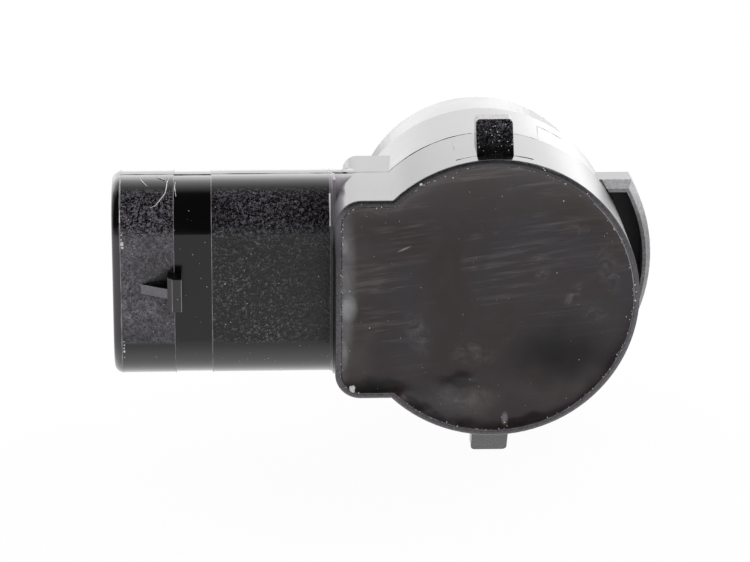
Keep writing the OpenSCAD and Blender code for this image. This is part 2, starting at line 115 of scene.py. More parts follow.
class Graph:
    """A short way to write node trees."""

    def __init__(self, tree):
        self.tree = tree
        tree.nodes.clear()

    def node(self, kind, inputs=None, **settings):
        """One node. An input that is a socket is linked, and any other is set."""
        made = self.tree.nodes.new(kind)
        for key, value in settings.items():
            setattr(made, key, value)
        for key, value in (inputs or {}).items():
            if isinstance(value, bpy.types.NodeSocket):
                self.tree.links.new(value, made.inputs[key])
            else:
                made.inputs[key].default_value = value
        return made

    def math(self, operation, a, b=0.0):
        return self.node("ShaderNodeMath", {0: a, 1: b}, operation=operation).outputs[0]

    def vector(self, operation, *values, output=0):
        made = self.node("ShaderNodeVectorMath", dict(enumerate(values)), operation=operation)
        return made.outputs[output]

    def mix(self, factor, a, b):
        """Colour mix."""
        return self.node("ShaderNodeMix", {0: factor, 6: a, 7: b}, data_type="RGBA").outputs[2]

    def blend(self, factor, a, b):
        """Number mix."""
        return self.node("ShaderNodeMix", {0: factor, 2: a, 3: b}, data_type="FLOAT").outputs[0]

    def spread(self, value, low, high, to_low=0.0, to_high=1.0, smooth=False):
        """Number that goes from one level to another while a value goes from low to high."""
        made = self.node(
            "ShaderNodeMapRange",
            {0: value, 1: low, 2: high, 3: to_low, 4: to_high},
            interpolation_type="SMOOTHSTEP" if smooth else "LINEAR",
        )
        return made.outputs[0]

    def fade(self, value, start, end, to_start=0.0, to_end=1.0):
        """The same between two places in millimetres."""
        return self.spread(value, start * MM, end * MM, to_start, to_end)

    def steps(self, value, stops, kind="CONSTANT"):
        """Number that changes at stops: pairs of start and level."""
        made = self.node("ShaderNodeValToRGB", {0: value})
        made.color_ramp.interpolation = kind
        elements = made.color_ramp.elements
        while len(elements) < len(stops):
            elements.new(1.0)
        for element, (start, level) in zip(elements, stops):
            element.position = start
            element.color = grey(level)
        return made.outputs[0]

    def above(self, value, limit):
        """One past a limit in millimetres."""
        return self.math("GREATER_THAN", value, limit * MM)

    def below(self, value, limit):
        """One short of a limit in millimetres."""
        return self.math("LESS_THAN", value, limit * MM)

    def within(self, value, low, high):
        """One between two limits in millimetres."""
        return self.times(self.above(value, low), self.below(value, high))

    def rest(self, share):
        """What a share leaves of one."""
        return self.math("SUBTRACT", 1.0, share)

    def times(self, *values):
        product = values[0]
        for value in values[1:]:
            product = self.math("MULTIPLY", product, value)
        return product

    def highest(self, *values):
        top = values[0]
        for value in values[1:]:
            top = self.math("MAXIMUM", top, value)
        return top

    def noise(self, vector, scale, detail=3.0, rough=0.55, distortion=0.0):
        """Noise with a scale in cells per metre."""
        inputs = {
            "Vector": vector,
            "Scale": scale,
            "Detail": detail,
            "Roughness": rough,
            "Distortion": distortion,
        }
        return self.node("ShaderNodeTexNoise", inputs).outputs[0]

    def stretched(self, vector, scale, turn=(0.0, 0.0, 0.0)):
        made = self.node("ShaderNodeMapping", {"Vector": vector, "Scale": scale, "Rotation": turn})
        return made.outputs[0]

    def wavy(self, vector, scale, reach):
        """Places pushed about by a noise, for uneven outlines."""
        push = self.node("ShaderNodeTexNoise", {"Vector": vector, "Scale": scale, "Detail": 3.0})
        centred = self.vector("SUBTRACT", push.outputs["Color"], (0.5, 0.5, 0.5))
        return self.vector("MULTIPLY_ADD", centred, (reach, reach, reach), vector)

    def bump(self, height, strength, distance, normal=None):
        inputs = {"Height": height, "Strength": strength, "Distance": distance}
        if normal is not None:
            inputs["Normal"] = normal
        return self.node("ShaderNodeBump", inputs).outputs[0]

    def place(self):
        """Place on the part, in metres of the CAD frame."""
        return self.node("ShaderNodeTexCoord").outputs["Object"]

    def parts(self, vector):
        """The X, Y and Z of a vector."""
        return self.node("ShaderNodeSeparateXYZ", {0: vector}).outputs

    def soft_edges(self, radius):
        return self.node("ShaderNodeBevel", {"Radius": radius}, samples=4).outputs[0]

    def surface(self, **inputs):
        named = {key.replace("_", " "): value for key, value in inputs.items()}
        shader = self.node("ShaderNodeBsdfPrincipled", named)
        self.node("ShaderNodeOutputMaterial", {"Surface": shader.outputs[0]})


def new_material(name):
    material = bpy.data.materials.new(name)
    material.use_nodes = True
    return material, Graph(material.node_tree)


def grey(level):
    return (level, level, level, 1.0)


# Scale that lays places flat on the rear
FLAT = (1.0, 0.0, 1.0)

# Margins that tell the housing's faces apart
CLEAR = 0.05
POCKET_CLEAR = 0.02
LATCH_CLEAR = 0.06
EDGE_CLEAR = 0.015
CAN_SKIN = (CAN_R - 0.1, CAN_R + 0.04)
SPIGOT_SKIN = SPIGOT_R - 0.1

# Grain on the connector and the lugs: where it fades in and out, and its levels from 0 to 1
GRAIN_Z = (-4.9, -4.6, 7.8, 8.05)
ROUND_Z = PLUG_H / 2 - PLUG_CORNER
ROUND_FADE = 0.2
MOUTH_GRAIN = 0.75
FOOT_GRAIN = 0.52
FOOT_FADE = 5.0
FOOT_SHARE = 0.5
LUG_FOOT = 0.3
LUG_GRAIN = (0.03, 0.68)
LOWER_LUG = 0.75
LEAST_GRAIN = 0.01

# Film on the latch, and the skin above it where the pale grain is left out as a painted shadow of the latch
RAMP_FILM = 0.58
TOOTH_FILM = 0.12
LATCH_SHADOW_Z = (0.8 * RIB_HALF, 1.9)
LATCH_SHADOW_Y = CREST_Y + 0.5
LATCH_SHADOW_FADE = 0.15
LATCH_SHADOW_SHARE = 0.85

# Painted reflection in the upper corner at the connector's foot: pale colour standing in for light reflected
# from the left
CORNER_X = (-11.6, -12.6)
CORNER_Y = PARTING_Y - 0.8
CORNER_Z = (3.5, 6.0)

# Painted light on the rear rim's rounded edge, and rubbing on the mouth: places and levels
RIM_LOW_Z = (-4.0, 6.0)
RIM_LOW_LIGHT = (0.42, 0.14)
RIM_RIGHT_X = (5.0, 9.0)
RIM_RIGHT_LIGHT = (0.14, 0.36)
MOUTH_RUB_Z = (5.5, 4.0)
MOUTH_RUB = 0.18
MOUTH_RUB_START = 0.75

# Chalk on the loop's bevel, made paler towards the top as painted light, dull skin beside the loop, soft
# shading of the rim's edge and of other edges
CHALK_LIGHT_Z = (3.0, 6.2)
CHALK_LIGHT_LEVELS = (0.37, 0.96)
BESIDE_LOOP_X = (5.0, 9.5)
RIM_EDGE_Y = (REAR_Y + 0.3, REAR_Y + 0.6)
SOFT_EDGE = (0.26, 0.06)

# Tangent of the spigot's mould draft
SPIGOT_DRAFT = 0.10

# Colours of the housing, of which the two pale ones also serve painted light
BLACK = ((0.0034, 0.0030, 0.0034, 1.0), (0.0064, 0.0058, 0.0066, 1.0))
PALE_CHALK_AND_LIGHT = (0.31, 0.285, 0.33, 1.0)
BEVEL_CHALK_AND_LIGHT = (0.50, 0.50, 0.52, 1.0)


def connector_wear(g, x, y, z):
    """Level of wear outside the connector: high at the mouth, none on the band, lower towards the box."""
    levels = (
        (MOUTH_X, 0.0),
        (MOUTH_X + MOUTH_ROUND, MOUTH_GRAIN),
        (BAND_X[0], 0.0),
        (BAND_X[1], FOOT_GRAIN),
        (FILLET_X, 0.0),
    )
    stops = [((start - MOUTH_X) / (-BOX_REACH - MOUTH_X), level) for start, level in levels]
    along = g.steps(g.fade(x, MOUTH_X, -BOX_REACH), stops)
    towards_box = g.fade(x, FILLET_X, FILLET_X - FOOT_FADE, FOOT_SHARE, 1.0)
    across = g.math("ABSOLUTE", g.math("SUBTRACT", y, PARTING_Y * MM))
    inside = g.times(g.below(across, SOCKET_HALF[0]), g.below(g.math("ABSOLUTE", z), SOCKET_HALF[1]))
    low, low_full, high_full, high = GRAIN_Z
    by_height = g.times(g.fade(z, low, low_full), g.fade(z, high, high_full))
    return g.times(along, towards_box, g.rest(inside), by_height)


def lug_wear(g, x, y, z):
    """Level of wear on the ramps of the two lugs, which grows outwards."""
    across = g.math("ABSOLUTE", x)
    height = g.math("ABSOLUTE", z)
    ramp = g.times(g.above(height, CAN_R + CLEAR), g.below(y, LUG_LAND_Y), g.below(across, 2 * LUG_HALF))
    lower = g.fade(z, -1.0, 1.0, LOWER_LUG, 1.0)
    return g.times(ramp, lower, g.fade(height, CAN_R + LUG_FOOT, LUG_TOP, *LUG_GRAIN))


def loop_bevel(g, radius, x, y):
    """One on the bevel round the side loop's rear edge, else nothing."""
    return g.times(g.above(radius, CAN_R + CLEAR), g.above(x, LOOP_FROM_X), g.within(y, *LOOP_BEVEL_Y))


def loop_pocket(g, radius, x, y, z):
    """One inside the side loop's pocket, else nothing."""
    hollow = g.times(g.within(radius, CAN_R + POCKET_CLEAR, POCKET_R), g.within(z, -POCKET_HALF, POCKET_HALF))
    return g.times(hollow, g.above(x, LOOP_FROM_X), g.above(y, LOOP_BEVEL_Y[0]))


def beside_loop(g, radius, x, y):
    """Share of duller skin on the can's side behind the loop."""
    return g.times(g.within(radius, *CAN_SKIN), g.fade(x, *BESIDE_LOOP_X), g.below(y, LOOP_BEVEL_Y[0]))


def latch_parts(g, x, y, z):
    """Where the latch is, its level of wear, and the skin above it where its shadow falls, painted by leaving
    out the pale grain.
    """
    latch = g.times(g.below(y, CREST_Y - LATCH_CLEAR), g.within(x, MOUTH_X, BAND_X[1]))
    height = g.math("ABSOLUTE", z)
    on_tooth = g.above(x, TOOTH_X[0])
    ramp = g.times(g.below(height, RIB_HALF - EDGE_CLEAR), g.rest(on_tooth), RAMP_FILM)
    tooth = g.times(g.below(height, TOOTH_HALF - EDGE_CLEAR), on_tooth, TOOTH_FILM)
    bottom, top = LATCH_SHADOW_Z
    reach = g.fade(x, RIB_X, TOOTH_X[1], RIB_HALF * MM, top * MM)
    under = g.fade(g.math("SUBTRACT", z, reach), 0.0, -LATCH_SHADOW_FADE)
    latch_shadow = g.times(g.within(x, RIB_X, TOOTH_X[2]), g.above(z, bottom), under, g.below(y, LATCH_SHADOW_Y))
    return latch, g.times(latch, g.math("ADD", ramp, tooth)), latch_shadow


def painted_corner_reflection(g, x, y, z):
    """Level of pale colour painted in the upper corner between the connector and the box, a painted reflection
    of light from the left; the skin there is also duller.
    """
    foot = g.times(g.fade(x, *CORNER_X), g.above(x, FILLET_X - CLEAR))
    return g.times(foot, g.fade(z, *CORNER_Z), g.below(y, CORNER_Y))


def grain_specks_and_glints(g, place, pits, cloud, x, z):
    """Chalk in the grain: a soft film on the flat side near the mouth, and elsewhere sharp specks that also
    stand in for the grain's glints as painted glints, more of them on the upper rounding.
    """
    upper = g.fade(z, ROUND_Z - ROUND_FADE, ROUND_Z + ROUND_FADE)
    filmy = g.times(g.below(x, BAND_X[0]), g.rest(upper))
    patchy = g.spread(g.noise(place, scale=1100.0, rough=0.6), 0.3, 0.7, 0.65, 1.35)
    soft = g.times(g.spread(pits, 0.36, 0.72, 0.0, 0.95), patchy)
    sharp = g.spread(pits, g.blend(upper, 0.53, 0.47), 0.65)
    return g.times(g.blend(filmy, sharp, soft), g.spread(cloud, 0.3, 0.65, 0.5, 1.3))


def painted_rim_light(g, pits, x, y, z):
    """Level of pale colour painted on the rear rim as light on its rounded edge: more of it low down, as a
    painted reflection of the white floor, and on the right.
    """
    rubbing = g.highest(g.fade(z, *RIM_LOW_Z, *RIM_LOW_LIGHT), g.fade(x, *RIM_RIGHT_X, *RIM_RIGHT_LIGHT))
    return g.times(g.below(y, REAR_Y + CLEAR), rubbing, g.spread(pits, 0.35, 0.65, 0.4, 1.2))


def rubbed_mouth(g, x, z):
    """Level of rubbing on the connector's rounded mouth, which grows outwards."""
    start = MOUTH_X + MOUTH_ROUND
    outwards = g.fade(x, start, MOUTH_X + 0.5 * MOUTH_ROUND, MOUTH_RUB_START, 1.0)
    return g.times(outwards, g.below(x, start), g.fade(z, *MOUTH_RUB_Z, 0.0, MOUTH_RUB))


def spigot_draft(g, radius, y, normal):
    """The normal, leaned forward on the spigot's outside as its mould draft does."""
    spigot = g.times(g.above(radius, SPIGOT_SKIN), g.above(y, CLEAR))
    lean = g.node("ShaderNodeCombineXYZ", {1: g.times(spigot, SPIGOT_DRAFT)}).outputs[0]
    return g.vector("NORMALIZE", g.vector("ADD", normal, lean))


def housing_plastic():
    """Black moulded plastic: smooth can, eroded grain on the connector, the lugs and the loop."""
    material, g = new_material("housing_plastic")
    place = g.place()
    x, y, z = g.parts(place)
    radius = g.vector("LENGTH", g.stretched(place, FLAT), output="Value")
    bevel = loop_bevel(g, radius, x, y)
    latch, latch_level, latch_shadow = latch_parts(g, x, y, z)
    corner = painted_corner_reflection(g, x, y, z)
    # Grain is left out on the latch, and on most of the skin above it as a painted shadow
    bare = g.rest(g.highest(latch, g.times(latch_shadow, LATCH_SHADOW_SHARE)))
    grained = g.times(g.highest(connector_wear(g, x, y, z), lug_wear(g, x, y, z), bevel), bare)
    grain = g.math("GREATER_THAN", grained, LEAST_GRAIN)

    eroded = g.noise(place, scale=9000.0, detail=2.0, rough=0.6, distortion=0.3)
    coarse = g.noise(place, scale=3600.0, detail=2.0, rough=0.5)
    cloud = g.noise(place, scale=240.0, rough=0.6)
    pits = g.math("ADD", g.times(eroded, 0.6), g.times(coarse, 0.4))
    cover = g.highest(
        # Pale grain specks, partly painted glints
        g.times(grained, grain_specks_and_glints(g, place, pits, cloud, x, z)),
        g.times(latch_level, g.spread(pits, 0.35, 0.65, 0.82, 1.12)),
        # Pale colour in the upper corner at the connector's foot is a painted reflection
        g.times(corner, g.spread(cloud, 0.2, 0.8, 0.3, 0.55)),
        # Pale colour on the rear rim is painted light on its rounded edge
        painted_rim_light(g, pits, x, y, z),
        rubbed_mouth(g, x, z),
    )
    # Chalk on the loop's bevel, paler towards the top as painted light from above
    chalk_and_light = g.times(bevel, g.spread(pits, 0.3, 0.6, 0.5, 0.9), g.fade(z, *CHALK_LIGHT_Z, *CHALK_LIGHT_LEVELS))
    colour = g.mix(chalk_and_light, g.mix(cover, g.mix(cloud, *BLACK), PALE_CHALK_AND_LIGHT), BEVEL_CHALK_AND_LIGHT)

    satin = g.spread(cloud, 0.2, 0.8, 0.12, 0.2)
    dull = g.spread(pits, 0.2, 0.8, 0.2, 0.34)
    pocket = loop_pocket(g, radius, x, y, z)
    beside = beside_loop(g, radius, x, y)
    duller = ((bevel, 0.5), (corner, 0.38), (latch, 0.3), (pocket, 0.5), (beside, 0.36))
    roughness = g.highest(g.blend(grain, satin, dull), *(g.times(share, level) for share, level in duller))

    edges = g.soft_edges(g.fade(y, *RIM_EDGE_Y, *(soft * MM for soft in SOFT_EDGE)))
    ripple = g.noise(place, scale=420.0, detail=2.0, rough=0.4)
    peel = g.bump(ripple, strength=0.25, distance=0.02 * MM, normal=edges)
    pitted = g.bump(pits, strength=g.times(grain, 0.8), distance=0.04 * MM, normal=peel)
    normal = spigot_draft(g, radius, y, pitted)
    g.surface(Base_Color=colour, Roughness=roughness, Normal=normal, IOR=1.45)
    return material


# Smudges on the resin: centre and half widths in X and Z, turn in degrees, amount of pale film
SMUDGES = (
    (3.9, 2.1, 0.9, 0.6, 25.0, 0.35), (6.5, 0.4, 0.7, 1.6, -30.0, 0.4), (-6.2, -2.9, 1.2, 2.6, 20.0, 0.35),
    (-1.7, -4.7, 2.6, 1.6, 0.0, 0.25), (-9.8, 7.4, 1.6, 0.5, 0.0, 0.25), (6.8, 6.0, 1.8, 0.7, -8.0, 0.25),
    (-2.0, -8.6, 3.4, 1.2, 0.0, 0.3), (9.3, 2.6, 1.3, 3.0, 12.0, 0.25), (8.3, -1.4, 1.6, 1.0, -20.0, 0.25),
)
# Pale deposits on the resin, and dark blotches: the same values
DEPOSITS = (
    (1.05, -10.45, 0.36, 0.75, 0.0, 0.75), (-12.15, 1.4, 1.15, 8.4, 0.0, 0.40),
    (-12.0, -0.6, 1.0, 1.9, 0.0, 1.0), (-12.25, 4.6, 0.6, 1.3, 0.0, 0.62),
    (-12.3, -4.6, 0.55, 1.8, 0.0, 0.75), (-7.4, 4.4, 0.8, 0.10, 24.0, 0.8),
)
BLOTCHES = (
    (-9.7, -7.6, 3.0, 1.35, 3.0, 1.0), (-5.9, -9.1, 2.3, 0.55, -35.0, 0.8), (-3.0, -6.6, 2.0, 0.75, 4.0, 0.9),
    (-3.3, -10.8, 1.5, 0.7, -12.0, 0.85), (-0.6, -11.2, 1.5, 0.35, 0.0, 0.55),
    (2.9, -10.7, 2.0, 0.45, 16.0, 0.4),
)
# Soft shade and soft haze on the resin: the same values
SHADES = ((5.6, -4.6, 6.8, 4.8, -4.0, 1.0),)
HAZES = (
    (-2.6, -8.9, 4.2, 2.2, 0.0, 0.17), (-11.0, -4.6, 2.2, 3.4, 0.0, 0.10), (-10.5, 3.0, 2.4, 5.0, 0.0, 0.06),
)
# Haze towards the top of the resin: where it fades in, and its level
TOP_HAZE_Z = (6.0, 11.0)
TOP_HAZE = 0.13
# Wipe marks: turn in degrees, stretch along X, Y and Z, level, where they fade, and what is left low and right
WIPE_TURN = 7.0
WIPE_STRETCH = (0.13, 1.0, 1.9)
WIPE_LEVEL = 0.68
WIPE_Z = (-6.0, 5.0)
WIPE_X = (8.0, -3.0)
WIPE_LOW = 0.12
WIPE_RIGHT = 0.35
# Reach of the noise that makes the outlines of blotches and haze uneven
UNEVEN_REACH = 3.6

# Colours of the resin: each of the first two goes from a dark to a light tone
WARM_RESIN = ((0.022, 0.013, 0.013, 1.0), (0.042, 0.027, 0.027, 1.0))
COOL_RESIN = ((0.024, 0.020, 0.024, 1.0), (0.042, 0.036, 0.042, 1.0))
BLOTCH = (0.0026, 0.0014, 0.0018, 1.0)
FILM = (0.27, 0.25, 0.245, 1.0)
CRUST = (0.32, 0.325, 0.335, 1.0)


def smudge(g, place, core, x, z, half_x, half_z, turn):
    """Soft oval patch: one within a share of its radius, nothing outside."""
    moved = g.vector("SUBTRACT", place, (x * MM, 0.0, z * MM))
    turned = g.stretched(moved, FLAT, (0.0, math.radians(turn), 0.0))
    oval = g.stretched(turned, (1 / (half_x * MM), 0.0, 1 / (half_z * MM)))
    return g.spread(g.vector("LENGTH", oval, output="Value"), 1.0, core, smooth=True)


def patches(g, place, rows, core=0.2):
    """The strongest of several oval patches at each place."""
    return g.highest(*(g.times(smudge(g, place, core, *oval), level) for *oval, level in rows))


def wipe_streaks(g, place):
    """Fine streaks left by wiping, a little off the level."""
    turned = g.stretched(place, (1.0, 1.0, 1.0), (0.0, math.radians(WIPE_TURN), 0.0))
    wiped = g.stretched(turned, WIPE_STRETCH)
    return g.spread(g.noise(wiped, scale=1150.0, detail=4.0, rough=0.66, distortion=0.2), 0.52, 0.74)


def potting_resin():
    """Cast brown-black resin with wipe marks, pale smudges, dark blotches, a soft painted shade and a slow
    ripple.
    """
    material, g = new_material("potting_resin")
    place = g.place()
    x, _, z = g.parts(place)
    streaks = wipe_streaks(g, place)
    areas = g.spread(g.noise(place, scale=130.0, rough=0.6, distortion=0.6), 0.40, 0.66)
    wipes = g.times(streaks, areas, g.fade(z, *WIPE_Z, WIPE_LOW, 1.0), g.fade(x, *WIPE_X, WIPE_RIGHT, 1.0))

    swirls = g.spread(g.noise(place, scale=700.0, detail=4.0, rough=0.62, distortion=2.2), 0.42, 0.70)
    blots = g.noise(place, scale=420.0, rough=0.6, distortion=0.8)
    film = g.times(patches(g, place, SMUDGES), swirls)
    crust = g.times(patches(g, place, DEPOSITS), g.spread(blots, 0.3, 0.6, 0.45, 1.0))
    pushed = g.wavy(place, 380.0, UNEVEN_REACH * MM)
    blotches = g.times(patches(g, pushed, BLOTCHES, core=0.4), g.spread(blots, 0.25, 0.50, 0.4, 1.0))
    # Dark blotches, and the soft painted shade on the right of the resin
    dark = g.highest(blotches, patches(g, pushed, SHADES, core=0.0))
    haze = g.highest(patches(g, pushed, HAZES, core=0.1), g.fade(z, *TOP_HAZE_Z, 0.0, TOP_HAZE))
    marks = g.math("ADD", g.highest(g.times(wipes, WIPE_LEVEL), film), g.times(haze, g.rest(dark)))

    stain = g.noise(place, scale=170.0, detail=4.0, rough=0.6, distortion=1.2)
    hue = g.noise(place, scale=150.0, distortion=0.8)
    base = g.mix(g.spread(hue, 0.38, 0.64), g.mix(stain, *WARM_RESIN), g.mix(stain, *COOL_RESIN))
    blotched_and_shaded = g.mix(g.times(dark, 0.95), base, BLOTCH)
    colour = g.mix(crust, g.mix(marks, blotched_and_shaded, FILM), CRUST)

    wear = g.math("ADD", g.times(g.highest(marks, crust), 0.5), g.times(stain, 0.7))
    roughness = g.math("ADD", g.spread(wear, 0.15, 0.75, 0.1, 0.40), g.times(dark, 0.30))
    swell = g.noise(place, scale=85.0, rough=0.5, distortion=0.6)
    ripple = g.bump(swell, strength=0.5, distance=0.2 * MM)
    normal = g.bump(streaks, strength=0.15, distance=0.01 * MM, normal=ripple)
    g.surface(Base_Color=colour, Roughness=roughness, Normal=normal, IOR=1.4)
    return material


def mottled(name, dark, light, scale, rough, metallic=0.0, relief=0.0):
    """Two tones mixed by one noise, and by a finer one a range of roughness and an optional relief."""
    material, g = new_material(name)
    place = g.place()
    tone = g.noise(place, scale, detail=4.0, rough=0.6)
    fine = g.noise(place, scale * 6.0, detail=2.0, rough=0.6)
    inputs = {
        "Base_Color": g.mix(tone, (*dark, 1.0), (*light, 1.0)),
        "Roughness": g.spread(fine, 0.25, 0.75, *rough),
        "Metallic": metallic,
    }
    if relief:
        inputs["Normal"] = g.bump(fine, strength=0.5, distance=relief * MM)
    g.surface(**inputs)
    return material


# Inner and front pieces: dark tone, light tone, noise scale, roughness range, metallic, relief
FINISHES = {
    "pin_metal": ((0.55, 0.48, 0.36), (0.72, 0.68, 0.58), 900.0, (0.18, 0.34), 1.0),
    "solder": ((0.42, 0.43, 0.45), (0.62, 0.63, 0.64), 1500.0, (0.22, 0.45), 1.0, 0.01),
    "silicone": ((0.012, 0.012, 0.013), (0.026, 0.026, 0.028), 700.0, (0.55, 0.72), 0.0, 0.01),
    "face_paint": ((0.010, 0.010, 0.011), (0.018, 0.018, 0.019), 500.0, (0.34, 0.44), 0.0, 0.004),
    "piezo_ceramic": ((0.58, 0.55, 0.44), (0.74, 0.71, 0.60), 1200.0, (0.45, 0.6), 0.0, 0.004),
    "foam": ((0.09, 0.085, 0.075), (0.17, 0.16, 0.145), 1800.0, (0.8, 0.95), 0.0, 0.05),
    "sealant": ((0.03, 0.03, 0.031), (0.06, 0.06, 0.062), 700.0, (0.25, 0.4), 0.0, 0.01),
    "wire_red": ((0.30, 0.025, 0.02), (0.42, 0.04, 0.03), 1500.0, (0.35, 0.5)),
    "wire_black": ((0.012, 0.012, 0.012), (0.024, 0.024, 0.024), 1500.0, (0.35, 0.5)),
    "board_laminate": ((0.015, 0.09, 0.035), (0.03, 0.14, 0.055), 900.0, (0.28, 0.42), 0.0, 0.006),
    "chip_plastic": ((0.012, 0.012, 0.013), (0.024, 0.024, 0.025), 2600.0, (0.5, 0.7), 0.0, 0.01),
    "tinned_lead": ((0.5, 0.51, 0.53), (0.68, 0.69, 0.7), 1800.0, (0.2, 0.38), 1.0),
    "ferrite": ((0.035, 0.034, 0.035), (0.065, 0.063, 0.064), 2200.0, (0.4, 0.6), 0.0, 0.01),
    "copper_wire": ((0.52, 0.2, 0.07), (0.7, 0.32, 0.13), 2600.0, (0.22, 0.4), 1.0, 0.02),
    "can_aluminium": ((0.56, 0.57, 0.59), (0.72, 0.73, 0.74), 1400.0, (0.2, 0.36), 1.0),
    "chip_ceramic": ((0.36, 0.26, 0.15), (0.5, 0.38, 0.24), 2400.0, (0.35, 0.5)),
    "resistor_film": ((0.012, 0.013, 0.015), (0.028, 0.029, 0.032), 2400.0, (0.3, 0.5)),
}
# Pieces that the scene adds: dark tone, light tone, noise scale, roughness range
ADDED_FINISHES = {
    "seam_plastic": ((0.006, 0.006, 0.006), (0.014, 0.014, 0.014), 900.0, (0.6, 0.8)),
    "worn_plastic": ((0.10, 0.10, 0.102), (0.50, 0.50, 0.505), 1500.0, (0.4, 0.6)),
    "dust": ((0.74, 0.73, 0.71), (0.95, 0.94, 0.93), 3000.0, (0.8, 0.95)),
    "lint_and_highlight": ((0.75, 0.75, 0.74), (0.92, 0.92, 0.91), 3000.0, (0.75, 0.9)),
}


def mottled_materials(finishes):
    return {name: mottled(name, *finish) for name, finish in finishes.items()}


def paint_cad(materials):
    """Gives every CAD node the material of its slot in the record."""
    for row in frame["record"]["subparts"]:
        slots = nodes[row["node"]].data.materials
        slots.clear()
        slots.append(materials[row["material_slot"]])


# Shapes


def mesh_piece(name, points, faces, material):
    """A smooth mesh of points in millimetres that rides on the part's only body."""
    mesh = bpy.data.meshes.new(name)
    mesh.from_pydata([Vector(p) * MM for p in points], [], faces)
    mesh.update()
    mesh.polygons.foreach_set("use_smooth", [True] * len(mesh.polygons))
    mesh.materials.append(material)
    piece = bpy.data.objects.new(name, mesh)
    bpy.context.scene.collection.objects.link(piece)
    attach(piece, "root")
    return piece


def limited(value):
    """The value, kept between nothing and one."""
    return min(max(value, 0.0), 1.0)


def box_gap(x, z, inset):
    """Signed distance to the connector box's outline, set in by a width."""
    corner = BOX_CORNER - inset
    half_x = (BOX_REACH - inset + corner) / 2
    qx = abs(x - (corner - half_x)) - half_x + corner
    qz = abs(z) - (BOX_HALF - inset) + corner
    return math.hypot(max(qx, 0.0), max(qz, 0.0)) + min(max(qx, qz), 0.0) - corner


def outline_gap(x, z, inset):
    """Signed distance to the rear outline of can and box, set in by a width."""
    return min(math.hypot(x, z) - (CAN_R - inset), box_gap(x, z, inset))


OUTLINE_CENTRE_X = -3.0
OUTLINE_FAR = 20.0
HALVINGS = 40


def outline_point(angle, inset):
    """Point on the rear outline seen from a centre inside it, found by halving."""
    low, high = 0.0, OUTLINE_FAR
    for _ in range(HALVINGS):
        mid = (low + high) / 2
        if outline_gap(OUTLINE_CENTRE_X + mid * math.cos(angle), mid * math.sin(angle), inset) < 0:
            low = mid
        else:
            high = mid
    return OUTLINE_CENTRE_X + low * math.cos(angle), low * math.sin(angle)


# Skin of the resin: rise and width of its meniscus, gaps to the rim, lift off the CAD solid
MENISCUS_RISE = 0.11
MENISCUS_WIDTH = 0.42
SKIN_GAP = 0.06
CLOSE_GAP = 0.015
SKIN_LIFT = 0.012
# Left side: where the meniscus widens and by how much, and how the gap opens with the turn's cosine
LEFT_X = -10.5
LEFT_FADE = 1.5
LEFT_MENISCUS = 0.5
LEFT_STEEP = 3.0
LEFT_START = 1.6
# Skin's mesh: points round it, rings, and how far the rings crowd towards the rim
SKIN_AROUND = 480
SKIN_RINGS = 64
SKIN_CROWD = 1.8
# Slow swells of the resin: centre and half widths in X and Z, height
SWELLS = (
    (-9.0, -8.3, 2.0, 0.75, 0.11), (-3.0, -7.1, 1.5, 0.65, 0.07), (-3.3, -11.2, 1.3, 0.6, 0.09),
    (6.0, -6.6, 3.8, 1.7, 0.13), (3.6, -11.0, 1.8, 0.5, 0.07), (-6.2, -9.9, 0.9, 0.5, 0.07),
)
# Waves of the left meniscus: middle and reach, then radians per millimetre of Z and start of each
LEFT_WAVE = (0.6, 0.4)
LEFT_WAVES = ((1.9, 0.7), (0.83, 2.1))
# Waves that bend the swells in X and in Z: reach, radians per millimetre of X and of Z, start in radians
BENDS_X = ((0.45, 0.9, 1.7, 0.0),)
BENDS_Z = ((0.28, 1.3, 0.0, 0.4), (0.14, 2.9, 0.0, 1.0))


def bend(waves, x, z):
    """How far waves push a place."""
    return sum(reach * math.sin(by_x * x + by_z * z + start) for reach, by_x, by_z, start in waves)


def resin_rise(x, z):
    """Height of the resin's skin above its plain level."""
    inside = max(-outline_gap(x, z, RIM_W + SKIN_GAP), 0.0)
    left = limited((LEFT_X - x) / LEFT_FADE)
    wave = LEFT_WAVE[0] + LEFT_WAVE[1] * math.prod(math.sin(by_z * z + start) for by_z, start in LEFT_WAVES)
    rise = MENISCUS_RISE * math.exp(-inside / (MENISCUS_WIDTH + LEFT_MENISCUS * left * wave))
    bent_x = x + bend(BENDS_X, x, z)
    bent_z = z + bend(BENDS_Z, x, z)
    for mid_x, mid_z, half_x, half_z, height in SWELLS:
        rise += height * math.exp(-(((bent_x - mid_x) / half_x) ** 2 + ((bent_z - mid_z) / half_z) ** 2))
    return rise


def skin_edge():
    """Outline of the resin's skin, close to the rim except on the left."""
    edge = []
    for i in range(SKIN_AROUND):
        turn = 2 * math.pi * i / SKIN_AROUND
        left = limited(-LEFT_STEEP * math.cos(turn) - LEFT_START)
        edge.append(outline_point(turn, RIM_W + CLOSE_GAP + (SKIN_GAP - CLOSE_GAP) * left))
    return edge


